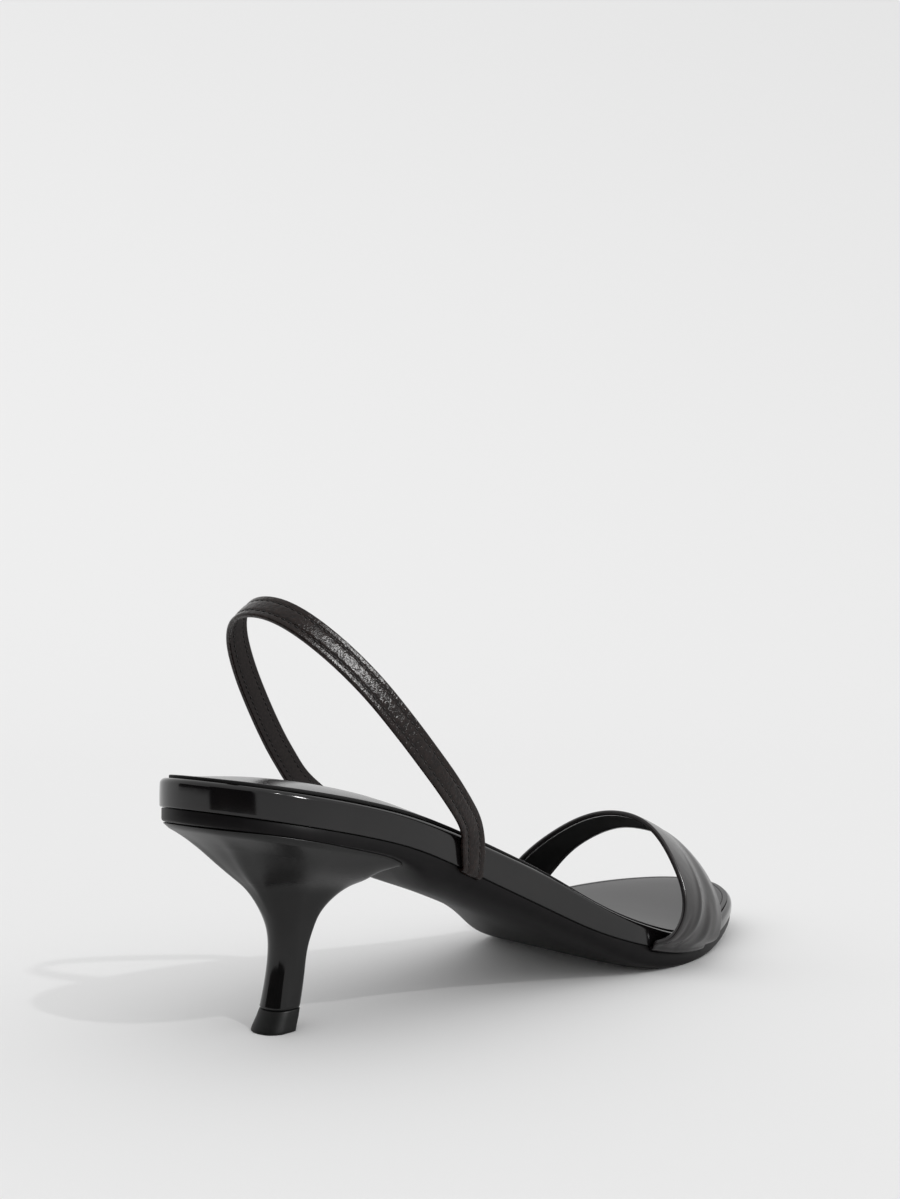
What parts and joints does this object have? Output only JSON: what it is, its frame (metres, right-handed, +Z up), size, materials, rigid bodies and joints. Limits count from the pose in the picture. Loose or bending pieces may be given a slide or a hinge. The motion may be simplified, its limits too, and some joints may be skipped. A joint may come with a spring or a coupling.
{
  "type": "slingback sandal",
  "caption": "Right shoe: open-toed slingback sandal with a small flared heel, a padded sole with a tall glossy edge, a toe strap and a heel strap.",
  "frame": {"origin": "on the floor under the ball of the foot, in the middle of the flat spot the outsole rests on", "axes": "+Z up, +Y from heel to toe, +X towards the outer side of the foot"},
  "size_m": [0.089, 0.238, 0.1088],
  "materials": {
    "sock_leather": "smooth, half gloss",
    "footbed_patent": "high gloss patent",
    "outsole_lacquer": "painted, smooth gloss",
    "heel_lacquer": "high gloss",
    "heel_tip_rubber": "dull",
    "toe_strap_leather": "smooth, gloss",
    "sling_leather": "crinkled, gloss"
  },
  "bodies": {
    "root": {"insole_sock": "sock_leather", "footbed": "footbed_patent", "outsole": "outsole_lacquer", "heel": "heel_lacquer", "heel_tip": "heel_tip_rubber", "toe_strap": "toe_strap_leather", "sling_strap": "sling_leather"}
  },
  "joints": []
}
